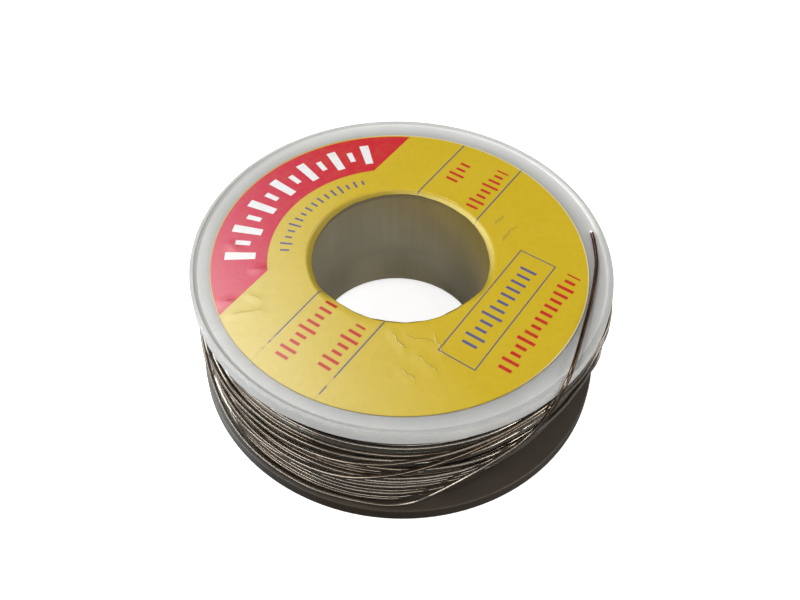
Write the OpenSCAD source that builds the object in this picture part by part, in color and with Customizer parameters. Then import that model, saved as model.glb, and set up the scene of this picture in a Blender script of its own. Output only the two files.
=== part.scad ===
// Small reel of flux-cored solder wire.
// Two moulded flanges are pushed onto the stepped ends of a hub tube. The wire is wound between
// them, and its last turn is loose: it sags to the lower flange, climbs over the upper rim and
// ends on the label side. All sizes are in millimetres. The origin is on the axis of the bore, in
// the plane that the reel stands on, with +Z along the bore.

/* [Reel] */
// Diameter of both flanges
flange_d = 52; // [46:1:64]
// Height of the whole reel, from rim to rim
reel_h = 18; // [14:0.5:24]
// Thickness of a flange at its rim
flange_t = 1.8; // [1.2:0.1:2.4]
// Width of the flat crest of the raised rim
rim_crest_w = 0.3; // [0.2:0.05:0.6]
// Height of the raised rim above the outer face
rim_h = 0.25; // [0.15:0.05:0.4]
// Width of the slope that runs from the rim down to the outer face
rim_slope_w = 0.45; // [0.2:0.05:0.8]
// Radius of the flange's rounded edges
edge_r = 0.15; // [0.05:0.05:0.25]

/* [Hub] */
// Diameter of the bore that the reel turns on
bore_d = 22; // [16:0.5:26]
// Wall of the hub tube between the flanges
hub_wall = 1.8; // [1.5:0.1:2.4]
// Wall of the thinner tube ends that pass through the flanges
spigot_wall = 1.0; // [0.8:0.1:1.2]
// Width and depth of the chamfer at each mouth of the bore
mouth_chamfer = 0.75; // [0.4:0.05:0.8]
// Radial gap between a tube end and the hole in its flange
fit_gap = 0.05; // [0.02:0.01:0.1]

/* [Label] */
// Outer diameter of the label
label_d = 46.5; // [36:0.5:48]
// How far off the axis the label is stuck, along X
label_off_x = -0.25; // [-0.4:0.05:0.4]
// How far off the axis the label is stuck, along Y
label_off_y = -0.3; // [-0.4:0.05:0.4]
// Thickness of the label's paper and glue
label_t = 0.1; // [0.06:0.02:0.2]
// How far down the chamfer the label's inner edge is folded
label_fold = 0.5; // [0.2:0.05:0.55]

/* [Wire] */
// Diameter of the solder wire
wire_d = 0.5; // [0.4:0.05:0.6]
// Diameter of the flux inside the wire
flux_d = 0.2; // [0.14:0.02:0.22]
// Gap between the flux and the hole in the wire
flux_gap = 0.02; // [0.01:0.01:0.03]
// Depth from the flange's edge to the middle of the outer turns
winding_inset = 1.0; // [0.8:0.1:3]
// Least gap between one outer turn and the next
turn_gap = 0.46; // [0.44:0.02:0.8]
// How far the outer turns stray in and out, to each side
stray = 0.12; // [0:0.02:0.15]
// Gap between the outer turns and a flange
side_gap = 0.35; // [0.3:0.05:0.6]

/* [Hidden] */

$fn = 180;

flange_r = flange_d / 2;
bore_r = bore_d / 2;
spigot_r = bore_r + spigot_wall;
hub_r = bore_r + hub_wall;
wire_r = wire_d / 2;
face_low = rim_h;                  // outer face of the lower flange
face_high = reel_h - rim_h;        // outer face of the upper flange
gap_low = flange_t;                // inner face of the lower flange
gap_high = reel_h - flange_t;      // inner face of the upper flange
EPS = 0.01;

// --- the outer turns: a helix of rings that climbs from a start groove to the upper flange
LOOP_RINGS = 24;
LOOP_SIDES = 6;
START_AZ = 48;                     // the wire comes up out of the inner winding here
END_AZ = 150;                      // the outer layer ends here, and the loose turn begins
CLIMB_DEPTH = 0.85;                // how much deeper than the outer turns the wire starts
CLIMB_AZ = 30;                     // angle over which it climbs
STRAY_WAVES = 2.37;                // waves of stray in each turn, not a whole number
turns_r = flange_r - winding_inset;
first_z = gap_low + wire_d + side_gap;
last_z = gap_high - wire_r - side_gap;
part_turn = (END_AZ - START_AZ) / 360;
whole_turns = floor((last_z - first_z) / (wire_d + turn_gap) - part_turn);
winding_az = 360 * (whole_turns + part_turn);
ring_step = 360 / LOOP_RINGS;
chord_sag = 1 - cos(ring_step / 2);
core_r = (turns_r - stray) * (1 - chord_sag) - wire_r - EPS;

function smooth(t) = let (u = min(max(t, 0), 1)) u * u * (3 - 2 * u);
function settled(az) = smooth(az / CLIMB_AZ) * smooth((winding_az - az) / CLIMB_AZ);
function turn_r(az) = turns_r - CLIMB_DEPTH * (1 - smooth(az / CLIMB_AZ))
    + stray * settled(az) * sin(STRAY_WAVES * az);
function turn_z(az) = first_z + (last_z - first_z) * az / winding_az;
function on_drum(r, az, z) = [r * cos(az), r * sin(az), z];
function tangent(az) = [-sin(az), cos(az), 0];

start_point = on_drum(turn_r(0), START_AZ, turn_z(0));
end_point = on_drum(turn_r(winding_az), END_AZ, turn_z(winding_az));
middle_az = [for (az = [ring_step : ring_step : winding_az - ring_step / 3]) az];

// Each entry of a wire's line is [point, direction]; both ends run straight for one wire diameter.
turns_line = concat(
    [[start_point, tangent(START_AZ)], [start_point + wire_d * tangent(START_AZ), tangent(START_AZ)]],
    [for (az = middle_az) [on_drum(turn_r(az), START_AZ + az, turn_z(az)), tangent(START_AZ + az)]],
    [[end_point - wire_d * tangent(END_AZ), tangent(END_AZ)], [end_point, tangent(END_AZ)]]);

// --- the loose turn and free end: [distance from the axis, angle, height], chosen by hand
TAIL_SIDES = 8;
TAIL_STEPS = 3;                    // rings for each stretch between two points
TAIL_POINTS = [
    [25.0, 150, 15.6], [25.02, 152.4, 15.6], [25.6, 161, 15.3], [25.64, 170, 13.9], [25.64, 179, 11.7],
    [25.64, 188, 9.2], [25.62, 197, 6.8], [25.62, 206, 4.8], [25.62, 215, 3.3], [25.54, 225, 2.5],
    [25.44, 236, 2.2], [25.4, 248, 2.1], [25.4, 263, 2.2], [25.65, 272, 3.2], [25.75, 278, 5.0],
    [25.75, 286, 7.4], [25.8, 293, 9.2], [25.9, 301, 10.8], [26.2, 306, 13.0], [26.4, 309, 15.5],
    [26.4, 310.5, 16.9], [26.25, 312.5, 18.1], [25.8, 315.5, 18.7], [24.8, 322, 18.6],
    [23.9, 331, 18.3], [23.6, 340, 18.05], [23.7, 349, 18.05], [24.05, 357, 18.05],
    [24.35, 365.5, 18.1], [24.45, 369, 18.15]];

function unit(v) = v / norm(v);
function held(points, i) = points[min(max(i, 0), len(points) - 1)];
function spline(p0, p1, p2, p3, t) =
    0.5 * (2 * p1 + (p2 - p0) * t + (2 * p0 - 5 * p1 + 4 * p2 - p3) * t * t
        + (3 * p1 - p0 - 3 * p2 + p3) * t * t * t);
tail_knots = [for (p = TAIL_POINTS) on_drum(p[0], p[1], p[2])];
tail_course = concat(
    [for (i = [0 : len(tail_knots) - 2], s = [0 : TAIL_STEPS - 1])
        if (i > 0 || s == 0)
            spline(held(tail_knots, i - 1), tail_knots[i], tail_knots[i + 1], held(tail_knots, i + 2),
                s / TAIL_STEPS)],
    [held(tail_knots, len(tail_knots))]);
tail_line = [for (i = [0 : len(tail_course) - 1])
    [tail_course[i],
     i == 0 ? tangent(END_AZ) : unit(held(tail_course, i + 1) - held(tail_course, i - 1))]];

// --- tubes along a line of [point, direction]
function outward(p) = unit([p[0], p[1], 0]);
function ring(station, r, sides) =
    let (d = station[1], side = unit(outward(station[0]) - (outward(station[0]) * d) * d),
         up = cross(d, side))
    [for (k = [0 : sides - 1]) station[0]
        + r * cos(360 * (k + 0.5) / sides) * side + r * sin(360 * (k + 0.5) / sides) * up];
function skin(rings, sides, first) = [for (i = [0 : rings - 2], k = [0 : sides - 1])
    let (a = first + i * sides + k, b = first + i * sides + (k + 1) % sides)
    each [[a, a + sides, b], [b, a + sides, b + sides]]];
function flipped(faces) = [for (f = faces) [f[2], f[1], f[0]]];

module solid_tube(line, r, sides) {
    points = [for (station = line) each ring(station, r, sides)];
    last = (len(line) - 1) * sides;
    start_cap = [for (k = [1 : sides - 2]) [0, k, k + 1]];
    end_cap = [for (k = [1 : sides - 2]) [last, last + k + 1, last + k]];
    polyhedron(points, concat(skin(len(line), sides, 0), start_cap, end_cap));
}

module hollow_tube(line, r, hole_r, sides) {
    count = len(line) * sides;
    points = concat([for (station = line) each ring(station, r, sides)],
        [for (station = line) each ring(station, hole_r, sides)]);
    last = count - sides;
    start_cap = [for (k = [0 : sides - 1]) let (n = (k + 1) % sides)
        each [[k, n, count + k], [n, count + n, count + k]]];
    end_cap = [for (k = [0 : sides - 1]) let (n = (k + 1) % sides, a = last, b = count + last)
        each [[a + k, b + k, a + n], [a + n, b + k, b + n]]];
    polyhedron(points, concat(skin(len(line), sides, 0), flipped(skin(len(line), sides, count)),
        start_cap, end_cap));
}

// --- least gap of the outer turns to themselves, measured on the corners of their rings
turn_rings = [for (station = turns_line) ring(station, wire_r, LOOP_SIDES)];
least_gap = min([for (i = [0 : len(turn_rings) - LOOP_RINGS], j = [i + LOOP_RINGS - 2 : i + LOOP_RINGS + 2])
    if (j < len(turn_rings)) min([for (p = turn_rings[i], q = turn_rings[j]) norm(p - q)])]);
echo(least_gap_of_outer_turns = least_gap, loops = winding_az / 360, tail_rings = len(tail_line));
tail_length = [for (i = 0, s = 0; i < len(tail_course); s = s + norm(held(tail_course, i + 1)
    - tail_course[i]), i = i + 1) s];
echo(tail_length = tail_length[len(tail_length) - 1]);

// --- the reel
function arc(x, z, r, from, to) = [for (i = [0 : 4]) let (a = from + (to - from) * i / 4)
    [x + r * cos(a), z + r * sin(a)]];

// Section of a flange, with its inner face at height 0 and its rim crest at flange_t
module flange_section() {
    crest_in = flange_r - edge_r - rim_crest_w;
    polygon(concat(
        [[spigot_r + fit_gap, 0]],
        arc(flange_r - edge_r, edge_r, edge_r, -90, 0),
        arc(flange_r - edge_r, flange_t - edge_r, edge_r, 0, 90),
        [[crest_in, flange_t], [crest_in - rim_slope_w, flange_t - rim_h],
         [spigot_r + fit_gap, flange_t - rim_h]]));
}

module lower_flange() color([0.36, 0.33, 0.30])
    translate([0, 0, gap_low]) mirror([0, 0, 1]) rotate_extrude() flange_section();

module upper_flange() color([0.86, 0.86, 0.84])
    translate([0, 0, gap_high]) rotate_extrude() flange_section();

module hub_tube() color([0.55, 0.52, 0.47]) rotate_extrude() polygon([
    [bore_r, face_low + mouth_chamfer], [bore_r + mouth_chamfer, face_low], [spigot_r, face_low],
    [spigot_r, gap_low], [hub_r, gap_low], [hub_r, gap_high], [spigot_r, gap_high],
    [spigot_r, face_high], [bore_r + mouth_chamfer, face_high], [bore_r, face_high - mouth_chamfer]]);

// The paper lies on the outer face and is folded a little way down the mouth of the bore. It is
// stuck slightly off the axis, so only its outer edge is out of centre.
module top_label() color([0.86, 0.74, 0.16]) {
    mouth_r = bore_r + mouth_chamfer;
    ring_r = mouth_r + 2;
    corner = label_t * tan(22.5);
    slant = label_t / sqrt(2);
    union() {
        rotate_extrude() polygon([
            [ring_r, face_high], [mouth_r, face_high],
            [mouth_r - label_fold, face_high - label_fold],
            [mouth_r - label_fold - slant, face_high - label_fold + slant],
            [mouth_r - corner, face_high + label_t], [ring_r, face_high + label_t]]);
        translate([0, 0, face_high]) difference() {
            translate([label_off_x, label_off_y, 0]) cylinder(r = label_d / 2, h = label_t);
            translate([0, 0, -1]) cylinder(r = ring_r, h = label_t + 2);
        }
    }
}

// The layers under the outer one, with the groove that the wire climbs out of.
module inner_winding() color([0.30, 0.27, 0.24]) difference() {
    translate([0, 0, gap_low]) rotate_extrude()
        translate([hub_r, 0]) square([core_r - hub_r, gap_high - gap_low]);
    rotate([0, 0, START_AZ]) rotate_extrude(angle = CLIMB_AZ + ring_step / 2)
        translate([turns_r - CLIMB_DEPTH - wire_d, first_z - wire_d * 0.7])
            square([wire_d + CLIMB_DEPTH, wire_d * 1.4 + EPS * 5]);
}

module outer_turns() color([0.52, 0.49, 0.45]) solid_tube(turns_line, wire_r, LOOP_SIDES);

module wire_tail() color([0.42, 0.34, 0.26])
    hollow_tube(tail_line, wire_r, flux_d / 2 + flux_gap, TAIL_SIDES);

module flux_core() color([0.80, 0.62, 0.25]) solid_tube(tail_line, flux_d / 2, TAIL_SIDES);

lower_flange();
hub_tube();
inner_winding();
outer_turns();
upper_flange();
top_label();
wire_tail();
flux_core();
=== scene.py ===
"""Visual model of a small reel of flux-cored solder wire, built around its CAD frame."""
import math

import bpy
from mathutils import Euler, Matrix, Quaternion, Vector


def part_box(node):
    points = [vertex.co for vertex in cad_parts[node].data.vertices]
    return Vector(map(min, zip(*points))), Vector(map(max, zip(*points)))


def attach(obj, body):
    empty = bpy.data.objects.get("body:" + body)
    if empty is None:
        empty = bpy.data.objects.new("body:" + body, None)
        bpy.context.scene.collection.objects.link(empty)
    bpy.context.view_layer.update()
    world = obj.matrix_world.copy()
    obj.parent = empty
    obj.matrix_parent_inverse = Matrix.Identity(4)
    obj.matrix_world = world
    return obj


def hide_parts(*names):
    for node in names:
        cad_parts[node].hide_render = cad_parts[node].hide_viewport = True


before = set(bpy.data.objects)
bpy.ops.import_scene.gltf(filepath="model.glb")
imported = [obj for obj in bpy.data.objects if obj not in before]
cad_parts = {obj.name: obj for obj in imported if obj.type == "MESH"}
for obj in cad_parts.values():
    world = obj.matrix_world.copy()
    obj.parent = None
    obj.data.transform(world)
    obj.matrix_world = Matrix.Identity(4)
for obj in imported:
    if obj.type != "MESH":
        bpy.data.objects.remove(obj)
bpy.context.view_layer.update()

bl_info = {
    "name": "Solder Wire Reel",
    "version": (1, 0, 0),
    "blender": (4, 5, 0),
    "location": "3D View > Sidebar > Wire Reel",
    "description": "Builds the visual model of a small reel of solder wire",
    "category": "Add Mesh",
}

MM = 0.001
TURN = 360                           # degrees
BODY = "root"
SHELF_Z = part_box("lower_flange")[1].z / MM        # top of the lower flange, in mm
CEILING_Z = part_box("upper_flange")[0].z / MM      # underside of the upper flange, in mm
LABEL_LOW, LABEL_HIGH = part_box("top_label")
LABEL_MIDDLE = (LABEL_LOW + LABEL_HIGH) / 2 / MM  # in mm


# ---------------------------------------------------------------- sizes and colours
def length_property(name, description, default, **more):
    return bpy.props.FloatProperty(name=name, description=description, default=default,
                                   unit="LENGTH", precision=5, **more)


def colour_property(name, description, default):
    return bpy.props.FloatVectorProperty(name=name, description=description, default=default,
                                         size=3, subtype="COLOR", min=0, max=1)


class ReelSizes(bpy.types.PropertyGroup):
    """Sizes of the wound wire and the label, in metres"""
    wire: length_property("Wire", "Diameter of the solder wire", 0.0005, min=0.0003, max=0.0008)
    flux: length_property("Flux", "Diameter of the flux inside the wire", 0.0002, min=0.0001)
    label: length_property("Label", "Outer radius of the label", (LABEL_HIGH.x - LABEL_LOW.x) / 2)
    paper: length_property("Paper", "Thickness of the label", 0.0001, min=0.00005)
    pitch: length_property("Pitch", "Mean step from one outer turn to the next", 0.00053)
    loose: bpy.props.IntProperty(name="Loose loops", default=2, min=1, max=2,
                                 description="Slack loops that lie over the outer turns")


class ReelColours(bpy.types.PropertyGroup):
    """Colours of the plastic, the printed label and the wire"""
    upper: colour_property("Upper flange", "Milky plastic", (0.49, 0.486, 0.470))
    # painted shade: the lower flange is coloured as dark as the milky plastic looks in the shade
    # under the winding
    lower: colour_property("Lower flange", "Smoky plastic", (0.056, 0.044, 0.033))
    # painted shade: the hub tube is coloured grey-brown as the milky plastic looks in the shade of
    # the bore
    hub: colour_property("Hub", "Grey-brown plastic", (0.29, 0.264, 0.19))
    paper: colour_property("Label ground", "Yellow of the label", (0.48, 0.334, 0.008))
    band: colour_property("Label band", "Red of the label's band", (0.455, 0.007, 0.018))
    ink: colour_property("Label rules", "Blue-grey of the thin rules", (0.07, 0.075, 0.19))
    solder: colour_property("Solder", "Grey of the dull solder", (0.35, 0.335, 0.295))
    tarnish: colour_property("Tarnish", "Brown of the tarnished solder", (0.21, 0.155, 0.105))
    # painted reflection: the free end is coloured dark brown for the dark surroundings it mirrors
    # over the flange
    painted_dark_end: colour_property("Browned end", "Brown of the handled free end", (0.11, 0.062, 0.038))
    flux: colour_property("Flux", "Amber of the flux", (0.55, 0.30, 0.06))


# ---------------------------------------------------------------- shader building
SOFT = 0.03                          # half the width of a printed line's soft edge, in mm


class Board:
    """Adds nodes to one node tree and links them."""

    def __init__(self, tree):
        self.tree = tree

    def feed(self, socket, value):
        if isinstance(value, bpy.types.NodeSocket):
            self.tree.links.new(value, socket)
        elif socket.type == "RGBA":
            socket.default_value = (*tuple(value)[:3], 1)
        else:
            socket.default_value = value

    def feed_all(self, node, **inputs):
        """Feeds inputs by name, with _ for each space in it."""
        for name, value in inputs.items():
            self.feed(node.inputs[name.replace("_", " ")], value)

    def add(self, kind, inputs=None, **settings):
        node = self.tree.nodes.new(kind)
        for name, value in settings.items():
            setattr(node, name, value)
        for key, value in (inputs or {}).items():
            self.feed(node.inputs[key], value)
        return node

    def math(self, operation, a, b=None, clamp=False):
        inputs = {i: v for i, v in enumerate((a, b)) if v is not None}
        return self.add("ShaderNodeMath", inputs, operation=operation, use_clamp=clamp).outputs[0]

    def times(self, first, *others):
        for other in others:
            first = self.math("MULTIPLY", first, other)
        return first

    def most(self, first, *others):
        for other in others:
            first = self.math("MAXIMUM", first, other)
        return first

    def vector(self, operation, a, b=None, output=0):
        inputs = {i: v for i, v in enumerate((a, b)) if v is not None}
        return self.add("ShaderNodeVectorMath", inputs, operation=operation).outputs[output]

    def radius(self, place):
        """Distance of a place from the upright axis."""
        return self.vector("LENGTH", self.vector("MULTIPLY", place, (1, 1, 0)), output=1)

    def spread(self, value, low, high, to_low=0.0, to_high=1.0, smooth=False):
        kind = "SMOOTHSTEP" if smooth else "LINEAR"
        return self.add("ShaderNodeMapRange", {0: value, 1: low, 2: high, 3: to_low, 4: to_high},
                        interpolation_type=kind).outputs[0]

    def inside(self, value, low, high, edge=SOFT):
        """1 where value lies from low to high, with edges as soft as edge."""
        rise = self.spread(value, low - edge, low + edge)
        return self.times(rise, self.spread(value, high - edge, high + edge, 1.0, 0.0))

    def mix(self, factor, a, b, blend="MIX"):
        node = self.add("ShaderNodeMix", data_type="RGBA", blend_type=blend)
        for index, value in ((0, factor), (6, a), (7, b)):
            self.feed(node.inputs[index], value)
        return node.outputs[2]

    def noise(self, vector, scale, detail=2.0, roughness=0.5, output=0):
        return self.add("ShaderNodeTexNoise", {"Vector": vector, "Scale": scale,
                        "Detail": detail, "Roughness": roughness}).outputs[output]

    def millimetres(self):
        """Coordinates of the surface, in millimetres."""
        place = self.add("ShaderNodeTexCoord").outputs["Object"]
        return self.add("ShaderNodeMapping", {"Vector": place, "Scale": [1 / MM] * 3}).outputs[0]

    def split(self, vector):
        return self.add("ShaderNodeSeparateXYZ", {0: vector}).outputs

    def bump(self, height, distance, normal=None):
        inputs = {"Height": height, "Distance": distance}
        if normal is not None:
            inputs["Normal"] = normal
        return self.add("ShaderNodeBump", inputs).outputs[0]

    def group(self, tree, **inputs):
        node = self.add("ShaderNodeGroup", node_tree=tree)
        self.feed_all(node, **inputs)
        return node.outputs


def new_group(name, inputs, outputs):
    """A shader node group; inputs and outputs are (name, socket kind, default)."""
    tree = bpy.data.node_groups.new(name, "ShaderNodeTree")
    for way, rows in (("INPUT", inputs), ("OUTPUT", outputs)):
        for label, kind, *default in rows:
            socket = tree.interface.new_socket(name=label, in_out=way,
                                               socket_type="NodeSocket" + kind)
            if default:
                socket.default_value = default[0]
    board = Board(tree)
    return board, board.add("NodeGroupInput").outputs, board.add("NodeGroupOutput").inputs


def grain_group():
    """Fine moulded or paper grain: a value that varies and a bumped normal."""
    b, given, out = new_group(
        "Fine grain", [("Vector", "Vector"), ("Size", "Float", 0.4), ("Depth", "Float", 0.01)],
        [("Value", "Float"), ("Normal", "Vector")])
    scale = b.math("DIVIDE", 1.0, given["Size"])
    fine = b.noise(given["Vector"], scale, 3.0, 0.6)
    b.feed(out["Value"], fine)
    b.feed(out["Normal"], b.bump(fine, b.times(given["Depth"], MM)))
    return b.tree


def mottle_group():
    """Slow cloudiness with small specks in it."""
    b, given, out = new_group(
        "Mottle", [("Vector", "Vector"), ("Size", "Float", 4.0), ("Speck", "Float", 0.25)],
        [("Cloud", "Float"), ("Specks", "Float")])
    cloud = b.noise(given["Vector"], b.math("DIVIDE", 1.0, given["Size"]), 3.0, 0.55)
    b.feed(out["Cloud"], b.spread(cloud, 0.32, 0.68, smooth=True))
    speck = b.noise(given["Vector"], b.math("DIVIDE", 1.0, given["Speck"]), 1.0)
    b.feed(out["Specks"], b.spread(speck, 0.62, 0.74, smooth=True))
    return b.tree


def rubbed_group():
    """Rubbed rings: 1 near a given radius and height, broken up by noise."""
    b, given, out = new_group(
        "Rubbed edge", [("Vector", "Vector"), ("Radius", "Float", 25.7),
                        ("Height", "Float", 18.0), ("Width", "Float", 0.2)],
        [("Mask", "Float")])
    off = b.math("SUBTRACT", b.radius(given["Vector"]), given["Radius"])
    up = b.math("SUBTRACT", b.split(given["Vector"])[2], given["Height"])
    gap = b.math("SQRT", b.math("ADD", b.times(off, off), b.times(up, up)))
    near = b.math("SUBTRACT", 1.0, b.math("DIVIDE", gap, given["Width"]), clamp=True)
    worn = b.spread(b.noise(given["Vector"], 0.6, 4.0, 0.7), 0.35, 0.6)
    b.feed(out["Mask"], b.times(near, worn))
    return b.tree


def marks_group():
    """A row of plain bars of one pitch: along and across are the place in the row, in mm."""
    b, given, out = new_group(
        "Row of bars",
        [("Along", "Float"), ("Across", "Float"), ("From", "Float"), ("To", "Float"),
         ("Pitch", "Float", 2.0), ("Thick", "Float", 0.8), ("Tall", "Float", 3.0),
         ("Uneven", "Float", 0.0)],
        [("Mask", "Float")])
    step = b.math("DIVIDE", b.math("SUBTRACT", given["Along"], given["From"]), given["Pitch"])
    cell = b.math("FLOOR", step)
    chance = b.add("ShaderNodeTexWhiteNoise", {"W": cell}, noise_dimensions="1D").outputs[0]
    middle = b.math("ABSOLUTE", b.math("SUBTRACT", b.math("FRACT", step), 0.5))
    sideways = b.math("SUBTRACT", b.times(given["Thick"], 0.5), b.times(middle, given["Pitch"]))
    height = b.times(given["Tall"], 0.5, b.math("SUBTRACT", 1.0, b.times(given["Uneven"], chance)))
    upright = b.math("SUBTRACT", height, b.math("ABSOLUTE", given["Across"]))
    bar = b.times(b.spread(sideways, -SOFT, SOFT), b.spread(upright, -SOFT, SOFT))
    within = b.times(b.math("GREATER_THAN", given["Along"], given["From"]),
                     b.math("LESS_THAN", given["Along"], given["To"]))
    b.feed(out["Mask"], b.times(bar, within))
    return b.tree


def crease_group():
    """A short crease or scratch from one point to another, wavering a little."""
    b, given, out = new_group(
        "Crease", [("Vector", "Vector"), ("Start", "Vector"), ("End", "Vector"),
                   ("Width", "Float", 0.15)], [("Mask", "Float")])
    waver = b.vector("SUBTRACT", b.noise(given["Vector"], 0.9, 2.0, output=1), (0.5, 0.5, 0.5))
    place = b.vector("ADD", given["Vector"], b.vector("MULTIPLY", waver, (0.9, 0.9, 0.0)))
    place = b.vector("MULTIPLY", place, (1, 1, 0))
    line = b.vector("SUBTRACT", given["End"], given["Start"])
    back = b.vector("SUBTRACT", place, given["Start"])
    share = b.math("DIVIDE", b.vector("DOT_PRODUCT", back, line, 1),
                   b.vector("DOT_PRODUCT", line, line, 1), clamp=True)
    foot = b.add("ShaderNodeVectorMath", {0: line, "Scale": share}, operation="SCALE").outputs[0]
    gap = b.vector("LENGTH", b.vector("SUBTRACT", back, foot), output=1)
    b.feed(out["Mask"], b.math("SUBTRACT", 1.0, b.math("DIVIDE", gap, given["Width"]), clamp=True))
    return b.tree


GROUPS = {}


def build_groups():
    for name, make in (("grain", grain_group), ("mottle", mottle_group), ("rubbed", rubbed_group),
                       ("marks", marks_group), ("crease", crease_group)):
        GROUPS[name] = make()


def new_material(name):
    """A material with one Principled shader; gives the material, its board and the shader."""
    material = bpy.data.materials.new(name)
    material.use_nodes = True
    board = Board(material.node_tree)
    shader = material.node_tree.nodes["Principled BSDF"]
    return material, board, shader


# Tones of the upper flange, partly painted shade: each starts at one radius and is full at the
# next, in mm
FACE_TONE = 0.56
RIM_TONES_AND_SHADE = ((23.1, 25.1, 0.92), (25.0, 25.15, 1.02), (25.3, 25.42, 0.72))
SIDE_PAINTED_LIGHT = (1.2, 1.8)              # painted light on the side wall, at the left and at the right


def milky_plastic(colours):
    material, b, shader = new_material("milky_plastic")
    place = b.millimetres()
    cloud, specks = b.group(GROUPS["mottle"], Vector=place, Size=5.0, Speck=0.22)
    worn = b.group(GROUPS["rubbed"], Vector=place, Radius=25.7, Height=18.0, Width=0.35)[0]
    base = Vector(colours.upper)
    x, y, z = b.split(place)
    radius = b.radius(place)
    # the dark winding shows through the face, with painted shade near the label's edge and on the
    # groove and crest of the rim; painted light makes the side lighter, most at the right
    tone = base * FACE_TONE
    for start, end, level in RIM_TONES_AND_SHADE:
        tone = b.mix(b.spread(radius, start, end), tone, base * level)
    side = b.times(b.spread(radius, 25.6, 25.8), b.spread(z, 18.0, 17.8))
    left, right = (base * level for level in SIDE_PAINTED_LIGHT)
    tone = b.mix(side, tone, b.mix(b.spread(x, -19.0, 6.0), left, right))
    # painted light from behind: the flange is lighter towards the back and a little towards the
    # right
    back = b.spread(b.math("ADD", y, b.times(x, 0.4)), 0.0, 24.0, 1.0, 1.28)
    tone = b.mix(1.0, tone, back, "MULTIPLY")
    tone = b.mix(b.times(cloud, 0.5), tone, (0.9, 0.9, 0.9), "MULTIPLY")
    tone = b.mix(b.times(specks, 0.18), tone, base * 1.3)
    tone = b.mix(b.times(worn, 0.10), tone, base * 1.3)
    value, normal = b.group(GROUPS["grain"], Vector=place, Size=0.5, Depth=0.02)
    b.feed_all(shader, Base_Color=tone, Roughness=b.spread(value, 0.3, 0.7, 0.30, 0.44),
               Normal=normal, Subsurface_Weight=0.6, Subsurface_Radius=(1.0, 0.95, 0.85),
               Subsurface_Scale=MM, Specular_IOR_Level=0.62)
    return material


def shade_painted_plastic(colours):
    material, b, shader = new_material("shade_painted_plastic")
    place = b.millimetres()
    cloud, specks = b.group(GROUPS["mottle"], Vector=place, Size=7.0, Speck=0.3)
    worn = b.group(GROUPS["rubbed"], Vector=place, Radius=25.9, Height=1.7, Width=0.3)[0]
    base = Vector(colours.lower)
    tone = b.mix(b.times(cloud, 0.6), base, base * 1.35)
    # painted light: the outer side is lighter at the right, and a painted reflection makes the
    # whole flange greyer at the far left
    x = b.split(place)[0]
    side = b.mix(b.spread(x, 0.0, 16.0), (0.042, 0.031, 0.020), (0.088, 0.072, 0.056))
    tone = b.mix(b.spread(b.radius(place), 25.75, 25.9), tone, side)
    tone = b.mix(b.spread(x, -23.0, -9.0, 1.0, 0.0), tone, (0.11, 0.107, 0.10))
    tone = b.mix(b.spread(x, -22.0, -16.0, 1.0, 0.0), tone, (0.16, 0.156, 0.145))
    tone = b.mix(b.times(worn, 0.2), tone, base * 1.6)
    tone = b.mix(b.times(specks, 0.10), tone, base * 3.0)
    value, normal = b.group(GROUPS["grain"], Vector=place, Size=0.45, Depth=0.015)
    b.feed_all(shader, Base_Color=tone, Roughness=b.spread(value, 0.3, 0.7, 0.42, 0.56),
               Normal=normal, Specular_IOR_Level=0.45)
    return material


def hub_plastic(colours):
    material, b, shader = new_material("hub_plastic")
    place = b.millimetres()
    cloud = b.group(GROUPS["mottle"], Vector=place, Size=6.0, Speck=0.3)[0]
    streak = b.noise(b.vector("MULTIPLY", place, (1.0, 1.0, 0.05)), 1.6, 3.0, 0.6)
    x, y, z = b.split(place)
    base = Vector(colours.hub)
    tone = b.mix(b.spread(streak, 0.3, 0.7), base * 0.93, base * 1.07)
    tone = b.mix(b.times(cloud, 0.2), tone, base * 1.1)
    # painted light makes the wall lighter low down, most of all at the back, and painted shade
    # makes it darker at the right
    tone = b.mix(b.spread(z, 1.0, 11.0, 1.0, 0.0), tone, base * 1.25)
    tone = b.mix(b.spread(x, 6.0, 11.5), tone, base * 0.72)
    low = b.times(b.spread(y, 8.0, 10.5), b.spread(z, 0.0, 7.0, 1.0, 0.0))
    tone = b.mix(low, tone, base * 2.4)
    # painted shade darkens the wall at the mouth's chamfer
    mouth = b.spread(z, 16.95, 17.02)
    tone = b.mix(mouth, tone, base * 0.46)
    # the label's yellow shines on the top of the wall, most of all at the right
    warm = b.spread(b.math("ADD", z, b.times(x, 0.6)), 9.0, 22.0)
    tone = b.mix(warm, tone, (0.90, 0.72, 0.25), "MULTIPLY")
    b.feed_all(shader, Base_Color=tone, Normal=b.bump(streak, 0.02 * MM), IOR=1.50,
               Roughness=b.most(b.spread(streak, 0.3, 0.7, 0.40, 0.55), mouth))
    return material


# Creases and scuffs of the label: from x, y to x, y, width, how dark, in mm
LABEL_CREASES = (
    (-1.2, -12.4, 0.2, -14.6, 0.16, 0.5), (0.6, -12.8, 3.4, -13.6, 0.14, 0.45),
    (3.6, -12.6, 4.4, -15.2, 0.14, 0.4), (1.6, -15.4, 3.6, -17.6, 0.16, 0.45),
    (-0.2, -17.4, 1.2, -19.0, 0.14, 0.35), (12.2, 5.6, 13.2, 6.7, 0.30, 0.5),
    (12.9, 2.6, 13.8, 3.9, 0.32, 0.55), (13.6, 3.9, 15.0, 5.0, 0.22, 0.4),
    (-19.6, -9.5, -16.5, -8.8, 0.14, 0.3), (-18.0, -6.6, -16.8, -7.2, 0.14, 0.3),
    (-17.5, -2.5, -16.9, -2.2, 0.18, 0.5), (-20.8, 1.8, -20.5, 1.2, 0.14, 0.45),
    (-20.9, -7.7, -20.1, -7.4, 0.16, 0.4),
)
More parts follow.
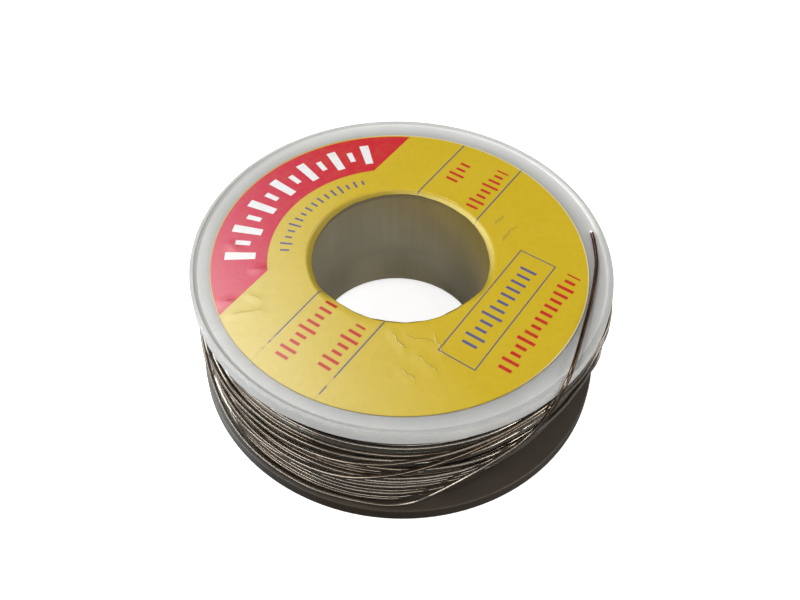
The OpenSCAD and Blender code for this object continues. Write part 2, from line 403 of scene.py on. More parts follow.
# The print, in mm. It is turned on the reel, and its arcs lie a little to one side of the axis
PRINT_TURN = -54.6                   # degrees
ARC_SHIFT = (0.38, 0.35, 0.0)
BAND_RADII, BAND_START, BAND_EDGE = (16.1, 23.0), 11.68, 0.04
RULE_OFF, RULE_WIDE, RULE_INNER_END = 4.5, 0.18, 9.95
BOX_U, BOX_V, BOX_LINE = (-9.8, 9.35), (-16.65, -11.7), 0.15
WHITE, SMALL_RED = (0.66, 0.66, 0.66), (0.42, 0.010, 0.010)
# Rows of bars. Arcs: radius, from and to in degrees. Straight rows: place across the print, from
# and to. Then pitch, thickness and height of the bars, and how uneven their height is
WHITE_ARCS = ((19.5, -43, 48, 4.424, 1.15, 3.8, 0), (19.5, -36.5, 41.5, 4.424, 0.75, 1.9, 0))
BLUE_ARC = (14.1, -35, 37, 1.1, 0.30, 1.7, 0.55)
BLUE_ROW = (-14.2, -7.6, 7.4, 1.25, 0.40, 2.7, 0.5)
RED_ROWS = ((2.1, -21.2, -11.0, 1.15, 0.44, 2.4, 0.5), (-2.7, -19.6, -12.0, 1.15, 0.44, 2.4, 0.5),
            (2.2, 14.8, 19.6, 1.15, 0.44, 2.4, 0.5), (-2.7, 11.9, 20.6, 1.15, 0.44, 2.4, 0.5),
            (-19.2, -8.2, 9.2, 1.2, 0.48, 2.3, 0.5))


def add_print(b, place, tone, painted_glare, colours):
    """Prints the band, the rules, the box and the bars on the label's paper."""
    turned = b.add("ShaderNodeVectorRotate", {"Vector": place, "Angle": math.radians(PRINT_TURN)},
                   rotation_type="Z_AXIS").outputs[0]
    u, v, _ = b.split(turned)
    radius = b.radius(b.vector("ADD", place, ARC_SHIFT))
    angle = b.math("ARCTAN2", u, v)
    ink = Vector(colours.ink)

    def row(along, across, start, end, pitch, thick, tall, uneven):
        return b.group(GROUPS["marks"], Along=along, Across=across, From=start, To=end,
                       Pitch=pitch, Thick=thick, Tall=tall, Uneven=uneven)[0]

    def arc_row(middle, start, end, *bars):
        return row(b.times(angle, middle), b.math("SUBTRACT", radius, middle),
                   math.radians(start) * middle, math.radians(end) * middle, *bars)

    def straight_row(line, *bars):
        return row(u, b.math("SUBTRACT", v, line), *bars)

    band = b.times(b.inside(radius, *BAND_RADII, BAND_EDGE),
                   b.spread(v, BAND_START - BAND_EDGE, BAND_START + BAND_EDGE))
    # painted glare makes the band pinker towards the left
    tone = b.mix(band, tone, b.mix(painted_glare, Vector(colours.band), (0.60, 0.02, 0.40)))
    tone = b.mix(b.most(*(arc_row(*bars) for bars in WHITE_ARCS)), tone, WHITE)
    tone = b.mix(arc_row(*BLUE_ARC), tone, ink)
    off_v, off_u = b.math("ABSOLUTE", v), b.math("ABSOLUTE", u)
    rules = b.times(b.inside(off_v, RULE_OFF - RULE_WIDE / 2, RULE_OFF + RULE_WIDE / 2),
                    b.spread(off_u, RULE_INNER_END - 0.05, RULE_INNER_END + 0.05))
    rubbed = b.times(b.spread(u, -20.0, -18.6, 1.0, 0.0), b.spread(b.noise(place, 1.1), 0.40, 0.50))
    rules = b.times(rules, b.math("SUBTRACT", 1.0, b.times(rubbed, 0.85)))
    box_out = b.times(b.inside(u, *BOX_U), b.inside(v, *BOX_V))
    box_in = b.times(b.inside(u, BOX_U[0] + BOX_LINE, BOX_U[1] - BOX_LINE),
                     b.inside(v, BOX_V[0] + BOX_LINE, BOX_V[1] - BOX_LINE))
    box = b.times(box_out, b.math("SUBTRACT", 1.0, box_in))
    tone = b.mix(b.most(rules, box), tone, ink * 0.8)
    tone = b.mix(straight_row(*BLUE_ROW), tone, ink)
    return b.mix(b.most(*(straight_row(*bars) for bars in RED_ROWS)), tone, SMALL_RED)


def label_paper(colours):
    material, b, shader = new_material("label_paper")
    place = b.millimetres()
    x, y, z = b.split(place)
    cloud = b.group(GROUPS["mottle"], Vector=place, Size=6.0, Speck=0.22)[0]
    paper = Vector(colours.paper)
    tone = b.mix(b.times(cloud, 0.5), paper, (paper.x * 1.04, paper.y * 1.06, paper.z * 2.0))
    # painted glare: the label is paler towards the left
    painted_glare = b.spread(b.math("ADD", x, b.times(y, 0.4)), -20.0, 0.0, 0.10, 0.0)
    tone = b.mix(painted_glare, tone, (0.76, 0.91, 0.66))
    tone = add_print(b, place, tone, painted_glare, colours)
    creases = b.most(*(b.times(b.group(GROUPS["crease"], Vector=place, Start=(x0, y0, 0),
                                       End=(x1, y1, 0), Width=width)[0], dark)
                       for x0, y0, x1, y1, width, dark in LABEL_CREASES))
    # the creases and scuffs are darker: dirt in the scuffs, and painted shade along the creases
    tone = b.mix(creases, tone, (0.20, 0.14, 0.02))
    # painted shade darkens the fold into the bore, with a painted highlight at the back right
    fold = b.spread(z, 17.78, 17.62)
    pale = b.spread(b.math("ADD", x, b.times(y, 0.8)), 7.0, 14.0)
    tone = b.mix(b.times(fold, 0.6), tone, b.mix(pale, paper * 0.6, (0.72, 0.60, 0.20)))
    # the cut outer edge shows bare paper, with a painted highlight at the right and painted shade
    # at the left and front
    out = b.radius(b.vector("SUBTRACT", place, LABEL_MIDDLE))
    right = b.spread(b.math("ADD", x, b.times(y, 0.5)), 0.0, 10.0)
    cut = b.mix(right, paper * 0.55, (0.70, 0.66, 0.50))
    edge = b.times(b.spread(out, 23.08, 23.22), b.spread(right, 0.0, 1.0, 0.35, 0.8))
    tone = b.mix(edge, tone, cut)
    # the fold's lower edge is shaded, and the part furthest into the bore is nearly black
    tone = b.mix(b.spread(z, 17.36, 17.28, 0.0, 0.35), tone, paper * 0.55)
    tone = b.mix(b.spread(b.radius(place), 10.84, 10.78, 0.0, 0.8), tone, paper * 0.12)
    grain, normal = b.group(GROUPS["grain"], Vector=place, Size=0.7, Depth=0.005)
    tone = b.mix(b.spread(grain, 0.42, 0.72, 0.0, 0.14), tone, paper * 0.6)
    rough = b.math("ADD", b.spread(grain, 0.3, 0.7, 0.28, 0.32),
                   b.times(b.most(creases, fold), 0.3))
    b.feed_all(shader, Base_Color=tone, Roughness=rough, Specular_IOR_Level=0.42,
               Normal=b.bump(creases, 0.06 * MM, normal),
               Coat_Weight=b.spread(fold, 0.0, 1.0, 0.25, 0.0), Coat_Roughness=0.30)
    return material


# The free end of the loose turn, painted dark brown for the dark surroundings it mirrors over the
# flange: where the brown starts, where it is full and where the end is cut, in mm
BROWN_BEGINS, BROWN_FULL, BRIGHT_CUT = 70, 82, 104.9
METAL, CUT_METAL, CUT_COLOUR = 0.92, 0.3, (0.85, 0.84, 0.80)


def solder_metal(name, bright, dull, rough=(0.11, 0.20), brown=None):
    """Solder wire: slow changes of tone from turn to turn, drawn lines along it.
    brown: painted colour of the free end, for the dark surroundings it mirrors, if the wire has
    one."""
    material, b, shader = new_material(name)
    along, around, _ = b.split(b.add("ShaderNodeTexCoord").outputs["UV"])
    lane = b.add("ShaderNodeCombineXYZ", {0: b.times(along, 0.021)}).outputs[0]
    slow = b.noise(lane, 1.0, 3.0, 0.6)
    lane = b.add("ShaderNodeCombineXYZ", {0: b.times(along, 0.25), 1: b.times(around, 9.0)})
    drawn = b.noise(lane.outputs[0], 1.0, 2.0, 0.6)
    place = b.millimetres()
    cloud, specks = b.group(GROUPS["mottle"], Vector=place, Size=1.6, Speck=0.2)
    tone = b.mix(b.spread(slow, 0.36, 0.64), bright, dull)
    tone = b.mix(b.spread(drawn, 0.45, 0.75, 0.0, 0.3), tone, dull * 0.6)
    tone = b.mix(b.times(cloud, 0.12), tone, dull * 0.8)
    tone = b.mix(b.times(specks, 0.12), tone, bright * 1.5)
    metal = METAL
    if brown is not None:
        tone = b.mix(b.spread(along, BROWN_BEGINS, BROWN_FULL), tone,
                     b.mix(cloud, brown, brown * 0.75))
        # the cut end is bare, bright metal, and its near-white, mostly non-metal colour is a
        # painted highlight
        cut = b.spread(along, BRIGHT_CUT, BRIGHT_CUT + 0.2)
        tone = b.mix(cut, tone, CUT_COLOUR)
        metal = b.spread(cut, 0.0, 1.0, METAL, CUT_METAL)
    b.feed_all(shader, Base_Color=tone, Roughness=b.spread(drawn, 0.3, 0.7, *rough),
               Metallic=metal, Normal=b.bump(drawn, 0.002 * MM))
    return material


def rosin(colours):
    material, b, shader = new_material("rosin_flux")
    place = b.millimetres()
    cloud = b.group(GROUPS["mottle"], Vector=place, Size=0.5, Speck=0.1)[0]
    base = Vector(colours.flux)
    value, normal = b.group(GROUPS["grain"], Vector=place, Size=0.08, Depth=0.006)
    b.feed_all(shader, Base_Color=b.mix(cloud, base, base * 0.6), Normal=normal,
               Roughness=b.spread(value, 0.3, 0.7, 0.22, 0.45))
    return material


# ---------------------------------------------------------------- wire
def wire_along(name, points, diameter, resolution=3, caps=True):
    """Draws a wire along points, in metres, and makes it a mesh. Its UV map runs in mm."""
    curve = bpy.data.curves.new(name, "CURVE")
    curve.dimensions = "3D"
    spline = curve.splines.new("POLY")
    spline.points.add(len(points) - 1)
    for knot, point in zip(spline.points, points):
        knot.co = (*point, 1)
    curve.bevel_depth = diameter / 2
    curve.bevel_resolution = resolution
    curve.use_fill_caps = caps
    curve.twist_mode = "Z_UP"
    piece = bpy.data.objects.new(name, curve)
    bpy.context.scene.collection.objects.link(piece)
    only(piece)
    bpy.ops.object.convert(target="MESH")
    piece = bpy.context.object
    run = sum((Vector(q) - Vector(p)).length for p, q in zip(points, points[1:])) / MM
    for loop in piece.data.uv_layers[0].data:
        loop.uv.x *= run
    return piece


def only(piece):
    """Selects this object alone and makes it the active one."""
    bpy.ops.object.select_all(action="DESELECT")
    piece.select_set(True)
    bpy.context.view_layer.objects.active = piece


def set_radius(vertex, radius):
    """Moves a vertex straight in or out to a radius, in metres."""
    scale = radius / math.hypot(vertex.co.x, vertex.co.y)
    vertex.co.x, vertex.co.y = vertex.co.x * scale, vertex.co.y * scale


def finish_piece(piece, material, slot, *nodes):
    """Gives a piece its material and body, and hides the CAD nodes that it stands for."""
    piece.data.materials.clear()
    piece.data.materials.append(material)
    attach(piece, BODY)
    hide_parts(*nodes)


def ease(share):
    """0 to 1 with a soft start and end, as share goes from 0 to 1."""
    share = min(max(share, 0), 1)
    return share * share * (3 - 2 * share)


def on_drum(radius, angle, height):
    """A point at a radius and height in mm, and an angle in degrees round the reel."""
    a = math.radians(angle)
    return Vector((radius * math.cos(a), radius * math.sin(a), height)) * MM


# The loose turn and the free end: distance from the axis in mm, angle in degrees, height in mm
EXIT_AZ = 150
TAIL_ROUTE = (
    (25.0, 150, 15.6), (25.02, 152.4, 15.6), (25.6, 161, 15.3), (25.64, 170, 13.9),
    (25.64, 179, 11.7), (25.64, 188, 9.2), (25.62, 197, 6.8), (25.62, 206, 4.8),
    (25.62, 215, 3.3), (25.54, 225, 2.5), (25.44, 236, 2.2), (25.4, 248, 2.1),
    (25.4, 263, 2.2), (25.65, 272, 3.2), (25.75, 278, 5.0), (25.75, 286, 7.4),
    (25.8, 293, 9.2), (25.9, 301, 10.8), (26.2, 306, 13.0), (26.4, 309, 15.5),
    (26.4, 310.5, 16.9), (26.25, 312.5, 18.1), (25.8, 315.5, 18.7), (24.8, 322, 18.6),
    (23.9, 331, 18.3), (23.6, 340, 18.05), (23.7, 349, 18.05), (24.05, 357, 18.05),
    (24.35, 365.5, 18.1), (24.45, 369, 18.15))
TAIL_STEPS = 9                       # points from one knot of the route to the next
FLUX_GAP = 0.02 * MM


def tail_course():
    """Points of the loose turn, in metres, on the same curve as the CAD's."""
    knots = [on_drum(*p) for p in TAIL_ROUTE]
    held = [knots[0], *knots, knots[-1]]
    points = []
    for i in range(len(knots) - 1):
        p0, p1, p2, p3 = held[i:i + 4]
        for s in range(TAIL_STEPS):
            t = s / TAIL_STEPS
            if i or not s:
                points.append(0.5 * (2 * p1 + (p2 - p0) * t
                                     + (2 * p0 - 5 * p1 + 4 * p2 - p3) * t * t
                                     + (3 * p1 - p0 - 3 * p2 + p3) * t ** 3))
    return points + [knots[-1]]


# Radius to the middle of the outer turns, in mm: angle round the reel, then at PACK_LEVELS
PACK_SHAPE = (
    (-180, 24.60, 24.52, 24.50, 24.55), (-163, 24.60, 24.43, 24.46, 24.57),
    (-140, 24.80, 24.70, 24.75, 24.80), (-120, 24.80, 24.75, 24.85, 24.90),
    (-105, 24.80, 24.85, 24.90, 24.90), (-93, 24.65, 24.75, 24.85, 24.90),
    (-85, 24.25, 24.60, 24.80, 24.85), (-76, 23.80, 24.50, 24.75, 24.80),
    (-68, 23.35, 24.35, 24.65, 24.75), (-60, 22.75, 24.15, 24.50, 24.75),
    (-46, 22.40, 24.05, 24.60, 25.05), (-36, 22.20, 23.90, 24.70, 25.25),
    (-28, 22.90, 24.40, 25.05, 25.35), (-21, 24.30, 25.25, 25.55, 25.62),
    (-10, 24.70, 25.25, 25.50, 25.55), (5, 24.90, 25.10, 25.25, 25.35),
    (25, 24.80, 24.90, 25.00, 25.00), (90, 24.65, 24.75, 24.75, 24.65),
    (150, 24.55, 24.60, 24.60, 24.55), (180, 24.60, 24.52, 24.50, 24.55))
PACK_LEVELS = (2.1, 5.2, 9.0, 15.9)
PACK_LOW, PACK_HIGH = PACK_LEVELS[0], PACK_LEVELS[-1]
COLUMNS = 120                        # places round the reel at which a turn is set down
STEP = TURN / COLUMNS
EASE = 3                             # columns over which a turn rides up on another
DIP_SPAN = 30                        # degrees over which the start comes up from its dip


def pack_radius(angle, height):
    """Radius to the middle of the outer turns at an angle and height."""
    angle = (angle + 180) % TURN - 180
    for left, right in zip(PACK_SHAPE, PACK_SHAPE[1:]):
        if left[0] <= angle <= right[0]:
            break
    t = ease((angle - left[0]) / (right[0] - left[0]))
    radii = [a + (b - a) * t for a, b in zip(left[1:], right[1:])]
    for k in range(len(PACK_LEVELS) - 1):
        if height <= PACK_LEVELS[k + 1] or k == len(PACK_LEVELS) - 2:
            share = (height - PACK_LEVELS[k]) / (PACK_LEVELS[k + 1] - PACK_LEVELS[k])
            return radii[k] + (radii[k + 1] - radii[k]) * min(max(share, 0), 1)


def lay_wire(start_az, heights, squeeze, inset=0.0, start_dip=0.0):
    """Lays a wire down column by column. Where it crosses an earlier turn it rides up on it.
    heights are in mm, one for each column; gives the radius of each. squeeze is how near two
    middles may be, inset how far under the outer turns it lies, start_dip how deep it starts."""
    beds, rides, radii = [], [], []
    columns = [[] for _ in range(COLUMNS)]

    def settle(last):
        """Eases the wire up before a crossing and down after it."""
        for k in range(len(radii), last + 1):
            tops = [max(rides[max(m - EASE, 0):m + EASE + 1])
                    for m in range(max(k - EASE, 0), min(k + EASE, len(rides) - 1) + 1)]
            radii.append(beds[k] + sum(tops) / len(tops))
            columns[k % COLUMNS].append(k)

    for i, height in enumerate(heights):
        bed = pack_radius(start_az + i * STEP, height) - inset + unevenness(i / COLUMNS)
        bed -= start_dip * (1 - ease(i * STEP / DIP_SPAN))
        settled = bed
        for j in columns[i % COLUMNS]:
            drop = abs(heights[j] - height)
            if drop < squeeze:
                settled = max(settled, radii[j] + math.sqrt(squeeze ** 2 - drop ** 2))
        beds.append(bed)
        rides.append(settled - bed)
        settle(i - 2 * EASE)
    settle(len(rides) - 1)
    return radii


def unevenness(turns):
    """How far a turn stands out over the layer under it, in mm, different for each turn."""
    w = 2 * math.pi * turns
    return 0.05 * math.sin(0.37 * w + 1) + 0.04 * math.sin(0.61 * w + 2)


def wander(turns, seed):
    """Slow uneven drift of a wound turn, in mm."""
    w = 2 * math.pi * turns
    return (0.20 * math.sin(w + 0.7) + 0.10 * math.sin(2 * w + 1.9)
            + 0.018 * math.sin(w / 4.3 + seed) + 0.012 * math.sin(w / 2.6 + 2.1 * seed)
            + 0.008 * math.sin(1.31 * w + seed) + 0.007 * math.sin(2.73 * w + 2.1 * seed))


# Places where a turn leaves its lane: turns from the start, half width in turns, shift in mm
STRAYS = ((7.42, 0.08, -0.5), (10.58, 0.08, 0.5), (14.75, 0.08, -0.5), (18.50, 0.09, -0.5),
          (22.64, 0.08, 0.5))
# Each loose loop: height where it hangs lowest, and height behind the reel
LOOSE_LOOPS = ((9.9, 15.1), (6.6, 14.5))
WOUND_TOP = 15.75                    # height at which the last wound turn ends
LAST_BACK = 15.6                     # height of the exit
DIP_AZ, DIP_FALL, DIP_RISE = 238, 78, 80      # where the loops hang lowest, degrees before, after
OUTER_START, UNDER_START = 48, 100   # angles at which the outer turns and those under them begin
OUTER_SQUEEZE, UNDER_SQUEEZE = 0.97, 0.4      # how near two middles come, in wire diameters
START_DIP = 0.5                      # how deep the outer turns start, in mm
UNDER_PITCH, UNDER_INSET, FILL_INSET = 0.515, 0.44, 0.80       # in mm
UNDER_PAINTED_SHADE = 0.35                    # painted shade: the share of the outer turns' tone that the turns under them and the packed middle get


def outer_heights(sizes):
    """Heights of the outer turns and the loose loops, one for each column."""
    rise = WOUND_TOP - PACK_LOW
    wound = int(rise / (sizes.pitch / MM) * COLUMNS)
    heights = []
    for i in range(wound):
        turns = i / COLUMNS
        drift = wander(turns, 0.6) * min(1, turns / 5, (wound - i) / COLUMNS)
        drift += sum(shift * math.exp(-((turns - at) / half) ** 2) for at, half, shift in STRAYS)
        heights.append(PACK_LOW + rise * i / wound + drift)
    first_az = OUTER_START + wound * STEP
    loops = LOOSE_LOOPS[:sizes.loose]
    turns_done = math.floor((first_az - EXIT_AZ) / TURN)
    end_az = EXIT_AZ + TURN * (turns_done + 1 + len(loops))
    count = round((end_az - first_az) / STEP)
    backs = [WOUND_TOP, *(back for _, back in loops), LAST_BACK]
    for i in range(1, count + 1):
        az = first_az + i * STEP
        loop = (az - EXIT_AZ) / TURN - turns_done            # a new one begins at the exit angle
        k = min(math.floor(loop), len(loops))
        high = backs[k] + (backs[k + 1] - backs[k]) * ease((loop - k - 0.75) / 0.25)
        local = (az - DIP_AZ + 180) % TURN - 180
        dip = 1 - ease(abs(local) / (DIP_FALL if local < 0 else DIP_RISE)) if k else 0
        heights.append(high + (loops[k - 1][0] - high) * dip)
    return heights


def under_heights():
    """Heights of the turns under the outer ones, wound from the top down."""
    rise = PACK_HIGH - PACK_LOW
    count = int(rise / UNDER_PITCH * COLUMNS)
    return [PACK_HIGH - rise * i / count + 0.7 * wander(i / COLUMNS, 3.3)
            * min(1, i / COLUMNS, (count - i) / COLUMNS) for i in range(count)]


def wound_points(start, heights, radii):
    return [on_drum(r, start + i * STEP, h) for i, (r, h) in enumerate(zip(radii, heights))]


# ---------------------------------------------------------------- stage
CAMERA_PLACE = (-3.589, -80.405, 103.966)     # mm
CAMERA_TILT, CAMERA_ROLL = 45.208, 0.222      # degrees
CAMERA_LENS, CAMERA_SHIFT = 42.75, (0.0350, -0.1023)
AIM = Vector((0, 0, 0.010))                   # what the lights point at
LIGHTS = (                                    # name, place, width, height, watts, colour
    ("window", (-0.20, 0.32, 0.54), 0.22, 0.22, 2.2, (1.0, 0.99, 0.97)),
    ("left_card", (-0.50, 0.09, 0.22), 0.17, 0.17, 1.4, (0.88, 0.95, 1.0)),
    ("left_front_card", (-0.50, -0.23, 0.42), 0.42, 0.12, 1.3, (0.97, 0.98, 1.0)),
    ("overhead", (0.06, -0.18, 0.72), 0.50, 0.50, 1.0, (1, 1, 1)),
    ("front_strip", (0.02, -0.64, 0.41), 1.40, 0.12, 2.45, (1, 1, 1)),
    ("right_front_card", (0.48, -0.28, 0.50), 0.16, 0.16, 0.9, (1.0, 0.99, 0.97)),
    ("right_card", (0.50, 0.18, 0.30), 0.18, 0.18, 0.5, (1.0, 0.98, 0.95)))


def add_camera(scene):
    camera = bpy.data.objects.new("camera", bpy.data.cameras.new("camera"))
    scene.collection.objects.link(camera)
    camera.location = Vector(CAMERA_PLACE) * MM
    camera.rotation_mode = "QUATERNION"
    camera.rotation_quaternion = (Euler((math.radians(CAMERA_TILT), 0, 0)).to_quaternion()
                                  @ Quaternion((0, 0, 1), math.radians(CAMERA_ROLL)))
    camera.data.sensor_width = 36
    camera.data.lens = CAMERA_LENS
    camera.data.shift_x, camera.data.shift_y = CAMERA_SHIFT
    camera.data.clip_start = 0.005
    scene.camera = camera
    scene.view_settings.view_transform = "Standard"


def floor_paper():
    """Plain pale paper, with darker ground in what the wire and the plastic mirror."""
    material, b, shader = new_material("floor_paper")
    place = b.millimetres()
    seen = b.add("ShaderNodeLightPath").outputs["Is Camera Ray"]
    pale = b.mix(b.noise(place, 0.02, 2.0), (0.60, 0.60, 0.60), (0.63, 0.63, 0.63))
    x, y, _ = b.split(place)
    behind = b.times(y, 0.5)
    # painted light, seen only in reflections and bounce: the ground is lighter behind, most of all
    # at the left, with a bright pool under the bore
    lit = b.most(b.spread(b.math("SUBTRACT", behind, x), 8.0, 34.0, 0.06, 0.75),
                 b.spread(b.math("ADD", behind, x), 0.0, 60.0, 0.06, 0.50),
                 b.spread(b.vector("LENGTH", place, output=1), 11.0, 13.0, 0.7, 0.0))
    b.feed_all(shader, Base_Color=b.mix(seen, lit, pale), Roughness=0.9, Specular_IOR_Level=0.1,
               Emission_Color=(1, 1, 1), Emission_Strength=b.times(seen, 0.80))
    return material


def add_lights(scene):
    for name, place, wide, tall, power, colour in LIGHTS:
        data = bpy.data.lights.new(name, "AREA")
        data.shape = "RECTANGLE"
        data.size, data.size_y = wide, tall
        data.energy = power
        data.color = colour
        light = bpy.data.objects.new(name, data)
        scene.collection.objects.link(light)
        light.location = place
        light.rotation_mode = "QUATERNION"
        light.rotation_quaternion = (AIM - Vector(place)).to_track_quat("-Z", "Y")


def studio_world():
    """Lighter at the left and the right, and pale behind the reel."""
    world = bpy.data.worlds.new("studio")
    world.use_nodes = True
    b = Board(world.node_tree)
    backdrop = world.node_tree.nodes["Background"]
    backdrop.inputs["Color"].default_value = (0.93, 0.95, 1.0, 1)
    aside = b.split(b.add("ShaderNodeTexCoord").outputs["Generated"])[0]
    glow = b.spread(b.times(aside, aside), 0.0, 1.0, 0.08, 0.32)
    seen = b.add("ShaderNodeLightPath").outputs["Is Camera Ray"]
    b.feed(backdrop.inputs["Strength"], b.most(glow, b.times(seen, 0.9)))
    return world


class REEL_OT_stage(bpy.types.Operator):
    """Makes the floor, the lights and the camera"""
    bl_idname = "reel.stage"
    bl_label = "Stage"

    def execute(self, context):
        add_camera(context.scene)
        bpy.ops.object.select_all(action="DESELECT")
        bpy.ops.mesh.primitive_plane_add(size=3, location=(0, 0, 0))
        floor = context.object
        floor.name = "floor"
        floor.data.materials.append(floor_paper())
        add_lights(context.scene)
        context.scene.world = studio_world()
        return {"FINISHED"}


# ---------------------------------------------------------------- pieces
class REEL_OT_loose_turn(bpy.types.Operator):
    """Makes the loose last turn with its free end, and the flux inside it"""
    bl_idname = "reel.loose_turn"
    bl_label = "Loose turn and flux"

    def execute(self, context):
        sizes, colours = context.scene.reel_sizes, context.scene.reel_colours
        points = tail_course()
        flux = wire_along("flux_thread", points, sizes.flux)
        finish_piece(flux, rosin(colours), "rosin_flux", "flux_core")
        tail = wire_along("loose_end", points, sizes.wire, 5, caps=False)
        wall = tail.modifiers.new("wall", "SOLIDIFY")
        wall.thickness = (sizes.wire - sizes.flux) / 2 - FLUX_GAP
        wall.offset = -1
        wall.use_even_offset = True
        only(tail)
        bpy.ops.object.modifier_apply(modifier="wall")
        metal = solder_metal("solder_tail", Vector(colours.solder), Vector(colours.tarnish),
                             (0.18, 0.28), brown=Vector(colours.painted_dark_end))
        finish_piece(tail, metal, "solder_tail", "wire_tail")
        return {"FINISHED"}


class REEL_OT_winding(bpy.types.Operator):
    """Winds the outer turns with their slack loops, the turns under them and the middle; the last
    two are darkened as painted shade
    """
    bl_idname = "reel.winding"
    bl_label = "Winding"

    def execute(self, context):
        sizes, colours = context.scene.reel_sizes, context.scene.reel_colours
        solder, tarnish = Vector(colours.solder), Vector(colours.tarnish)
        wire = sizes.wire / MM
        heights = outer_heights(sizes)
        radii = lay_wire(OUTER_START, heights, OUTER_SQUEEZE * wire, start_dip=START_DIP)
        outer = wire_along("outer_turns_wire", wound_points(OUTER_START, heights, radii),
                           sizes.wire)
        finish_piece(outer, solder_metal("solder_wire", solder, tarnish), "solder_wire",
                     "outer_turns")

        heights = under_heights()
        radii = lay_wire(UNDER_START, heights, UNDER_SQUEEZE * wire, inset=UNDER_INSET)
        inner = wire_along("under_turns", wound_points(UNDER_START, heights, radii), sizes.wire, 1)
        # the turns under the outer ones and the packed middle are the solder darkened as painted
        # shade
        dull = solder_metal("solder_core", solder * UNDER_PAINTED_SHADE, tarnish * UNDER_PAINTED_SHADE, (0.30, 0.50))
        finish_piece(inner, dull, "solder_core", "inner_winding")
        fill = self.packed_middle(context)
        finish_piece(fill, dull, "solder_core", "inner_winding")
        return {"FINISHED"}

    @staticmethod
    def packed_middle(context):
        """The lower layers, closed off just under the turns that can be seen between others."""
        sides, levels = 144, 14
        first_radius = 0.0245                # every vertex gets its own below
        tall = CEILING_Z - SHELF_Z
        bpy.ops.object.select_all(action="DESELECT")
        bpy.ops.mesh.primitive_cylinder_add(
            vertices=sides, radius=first_radius, depth=tall * MM, end_fill_type="NOTHING",
            location=(0, 0, (SHELF_Z + tall / 2) * MM))
        piece = context.object
        piece.name = "packed_middle"
        bpy.ops.object.transform_apply(location=True, rotation=True, scale=True)
        bpy.ops.object.mode_set(mode="EDIT")
        for level in range(1, levels):
            bpy.ops.mesh.select_all(action="SELECT")
            bpy.ops.mesh.bisect(plane_co=(0, 0, (SHELF_Z + tall * level / levels) * MM),
                                plane_no=(0, 0, 1))
        bpy.ops.object.mode_set(mode="OBJECT")
        for vertex in piece.data.vertices:
            x, y, z = vertex.co
            radius = pack_radius(math.degrees(math.atan2(y, x)), z / MM) - FILL_INSET
            set_radius(vertex, radius * MM)
        bpy.ops.object.mode_set(mode="EDIT")
        bpy.ops.mesh.select_all(action="DESELECT")
        bpy.ops.mesh.select_mode(type="EDGE")
        bpy.ops.mesh.select_non_manifold()
        bpy.ops.mesh.extrude_edges_move()
        bpy.ops.object.mode_set(mode="OBJECT")
        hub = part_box("hub_tube")[1].x
        for vertex in piece.data.vertices:
            if vertex.select:
                set_radius(vertex, hub)
        bpy.ops.object.mode_set(mode="EDIT")
        bpy.ops.mesh.bridge_edge_loops()
        bpy.ops.mesh.select_all(action="SELECT")
        bpy.ops.mesh.normals_make_consistent(inside=False)
        bpy.ops.object.mode_set(mode="OBJECT")
        only(piece)
        bpy.ops.object.shade_smooth_by_angle(angle=math.radians(40))
        return piece


MOUTH, LIP = 11.8, 0.6               # radius at which the label folds, and what it folds, in mm
LIP_RINGS = 6
FLAT_FULL, FLAT_END = 40, 68         # degrees from the front: flat to here, folded from there
GLUED = 23                           # radius beyond which the label lies flat, in mm
CREASE_LIFT, CREASE_REACH = 0.1, 0.9          # mm


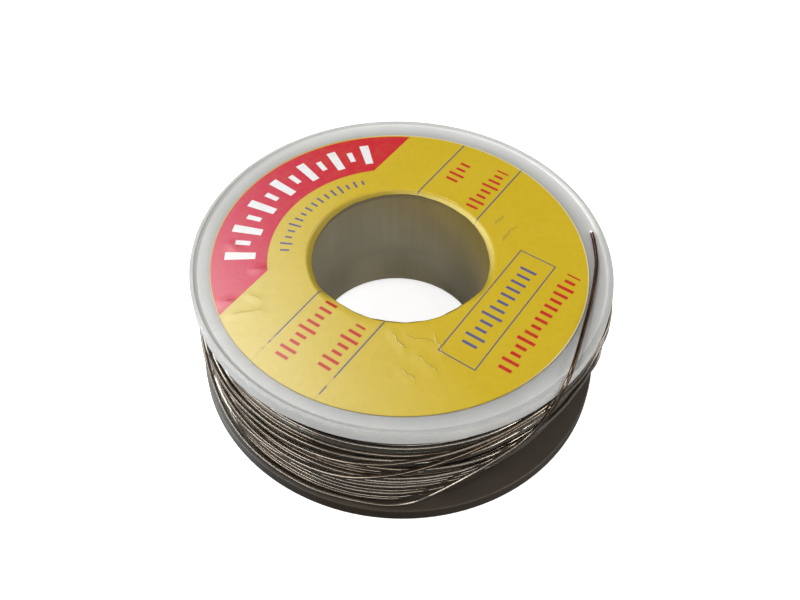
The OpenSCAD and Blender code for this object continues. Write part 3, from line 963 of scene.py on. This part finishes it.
class REEL_OT_label(bpy.types.Operator):
    """Makes the paper label, folded down at the mouth of the bore"""
    bl_idname = "reel.label"
    bl_label = "Label"

    def execute(self, context):
        sizes, colours = context.scene.reel_sizes, context.scene.reel_colours
        base_z = LABEL_HIGH.z - sizes.paper
        bpy.ops.object.select_all(action="DESELECT")
        bpy.ops.mesh.primitive_circle_add(vertices=360, radius=sizes.label, fill_type="NOTHING",
                                          location=(0, 0, 0))
        piece = context.object
        piece.name = "paper_label"
        # rings from the outer edge inwards; the last ones are the lip, which settle() folds
        rings = [23.1, 22.9, *(22.5 - 0.5 * i for i in range(21)), 12.15, 11.95, 11.83,
                 *(MOUTH - LIP / LIP_RINGS * i for i in range(1, LIP_RINGS + 1))]
        bpy.ops.object.mode_set(mode="EDIT")
        bpy.ops.mesh.select_all(action="SELECT")
        bpy.ops.transform.translate(value=(0, 0, base_z))
        before = sizes.label / MM
        for radius in rings:
            bpy.ops.mesh.extrude_edges_move()
            bpy.ops.transform.resize(value=(radius / before, radius / before, 1),
                                     center_override=(0, 0, 0))
            before = radius
        bpy.ops.object.mode_set(mode="OBJECT")
        for vertex in piece.data.vertices:
            self.settle(vertex)
        wall = piece.modifiers.new("paper", "SOLIDIFY")
        wall.thickness = sizes.paper
        wall.offset = 1
        only(piece)
        bpy.ops.object.mode_set(mode="EDIT")
        bpy.ops.mesh.select_all(action="SELECT")
        bpy.ops.mesh.normals_make_consistent(inside=False)
        bpy.ops.object.mode_set(mode="OBJECT")
        if piece.data.polygons[0].normal.z < 0:      # the paper's thickness goes upwards
            bpy.ops.object.mode_set(mode="EDIT")
            bpy.ops.mesh.flip_normals()
            bpy.ops.object.mode_set(mode="OBJECT")
        bpy.ops.object.modifier_apply(modifier="paper")
        bpy.ops.object.shade_smooth_by_angle(angle=math.radians(30))
        finish_piece(piece, label_paper(colours), "label_paper", "top_label")
        return {"FINISHED"}

    @staticmethod
    def settle(vertex):
        """Turns the paper's inner edge into the mouth, and raises the rest at its creases."""
        x, y, z = (c / MM for c in vertex.co)
        radius, a = math.hypot(x, y), math.atan2(y, x)
        if radius < MOUTH:
            # folded down the mouth at the back and sides, and nearly flat at the front
            depth = (MOUTH - radius) / LIP
            fray = (0.05 * math.sin(7 * a + 1) + 0.03 * math.sin(17 * a)
                    + 0.02 * math.sin(31 * a + 2))
            flat = ease((FLAT_END - abs(math.degrees(a) + 90)) / (FLAT_END - FLAT_FULL))
            fold = (0.66 - 0.26 * max(0, math.sin(a)) ** 2 + 0.4 * fray) * depth
            reach = (1.1 + fray) * depth
            radius = MOUTH - 0.02 - fold + (fold - reach) * flat
            z = LABEL_HIGH.z / MM - 0.1 - fold + (fold - 0.12 * depth * depth) * flat
        elif radius < GLUED:
            z += max(REEL_OT_label.lift(Vector((x, y)), crease) for crease in LABEL_CREASES)
        # the label lies off the axis, and its mouth on it
        share = min(max((radius - 12) / 8, 0), 1)
        vertex.co = Vector((radius * math.cos(a) + LABEL_MIDDLE.x * share,
                            radius * math.sin(a) + LABEL_MIDDLE.y * share, z)) * MM

    @staticmethod
    def lift(here, crease):
        """How far a crease raises the paper at this place, in mm."""
        start, end, dark = Vector(crease[0:2]), Vector(crease[2:4]), crease[5]
        line = end - start
        share = min(max((here - start).dot(line) / line.dot(line), 0), 1)
        gap = (here - start - share * line).length
        return CREASE_LIFT * dark * max(0, 1 - gap / CREASE_REACH)


class REEL_OT_plastics(bpy.types.Operator):
    """Gives the flanges and the hub tube their plastic"""
    bl_idname = "reel.plastics"
    bl_label = "Plastics"

    def execute(self, context):
        colours = context.scene.reel_colours
        for node, make in (("upper_flange", milky_plastic), ("lower_flange", shade_painted_plastic),
                           ("hub_tube", hub_plastic)):
            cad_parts[node].material_slots[0].material = make(colours)
        return {"FINISHED"}


STEPS = (REEL_OT_stage, REEL_OT_loose_turn, REEL_OT_winding, REEL_OT_label, REEL_OT_plastics)


class REEL_PT_panel(bpy.types.Panel):
    """Lists the sizes, the colours and the steps"""
    bl_idname = "REEL_PT_panel"
    bl_label = "Wire Reel"
    bl_space_type = "VIEW_3D"
    bl_region_type = "UI"
    bl_category = "Wire Reel"

    def draw(self, context):
        for group in (context.scene.reel_sizes, context.scene.reel_colours):
            for name in group.__annotations__:
                self.layout.prop(group, name)
        for step in STEPS:
            self.layout.operator(step.bl_idname)


CLASSES = (ReelSizes, ReelColours, *STEPS, REEL_PT_panel)


def register():
    for cls in CLASSES:
        bpy.utils.register_class(cls)
    bpy.types.Scene.reel_sizes = bpy.props.PointerProperty(type=ReelSizes)
    bpy.types.Scene.reel_colours = bpy.props.PointerProperty(type=ReelColours)


def unregister():
    del bpy.types.Scene.reel_sizes, bpy.types.Scene.reel_colours
    for cls in reversed(CLASSES):
        bpy.utils.unregister_class(cls)


def main():
    register()
    build_groups()
    bpy.ops.reel.stage()
    bpy.ops.reel.loose_turn()
    bpy.ops.reel.winding()
    bpy.ops.reel.label()
    bpy.ops.reel.plastics()


if __name__ == "__main__":
    main()
